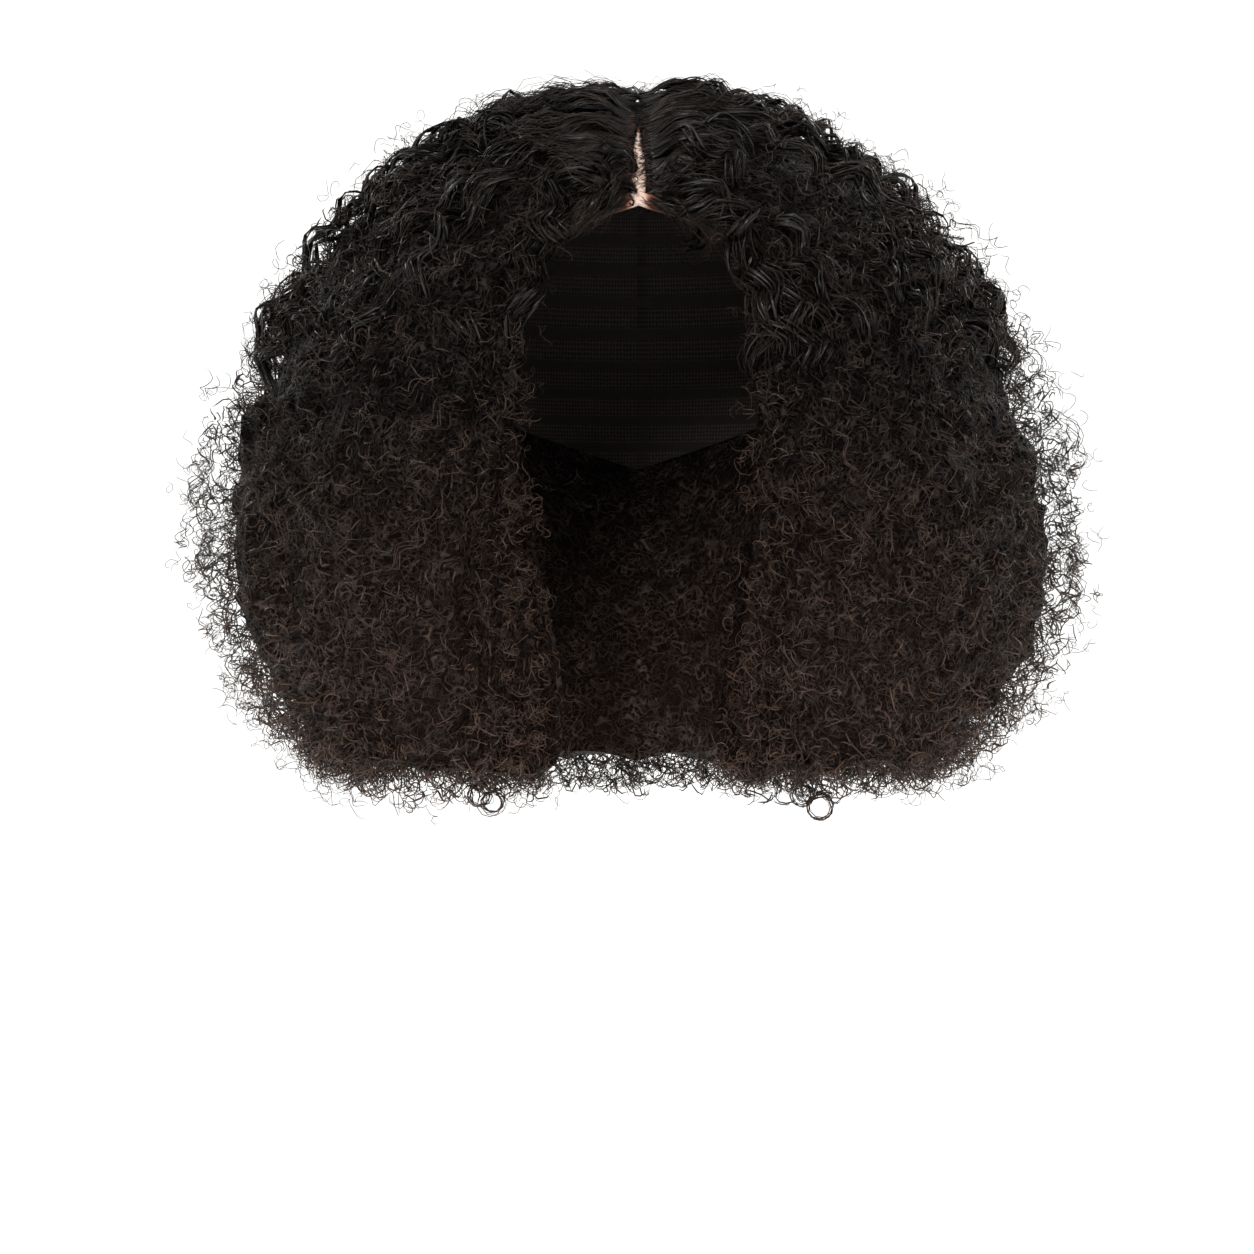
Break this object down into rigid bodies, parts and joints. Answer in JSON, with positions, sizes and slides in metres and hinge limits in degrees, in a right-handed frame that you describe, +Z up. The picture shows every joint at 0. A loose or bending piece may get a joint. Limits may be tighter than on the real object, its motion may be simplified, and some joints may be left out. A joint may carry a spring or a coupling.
{
  "type": "short curly wig",
  "caption": "Full, shoulder-length wig of tight dark curls with a centre parting in lace, on an open-faced net cap that seats on a head.",
  "frame": {"origin": "inside of the cap's crown, where the cap rests on the top of a head", "axes": "+Z up, -Y out of the face opening, -X to the left as a viewer in front sees it"},
  "size_m": [0.3863, 0.2836, 0.302],
  "materials": {
    "net": "black stretch net with rows of weft tape, matt",
    "lace": "fine skin-tone lace, matt, browner at its edges",
    "hair": "near-black synthetic fibre, combed smooth at the parting, tightly curled and browner towards the ends"
  },
  "bodies": {
    "root": {"wig_cap": "net", "lace_parting": "lace", "hair_left": "hair", "hair_right": "hair", "hair_back": "hair"}
  },
  "joints": []
}
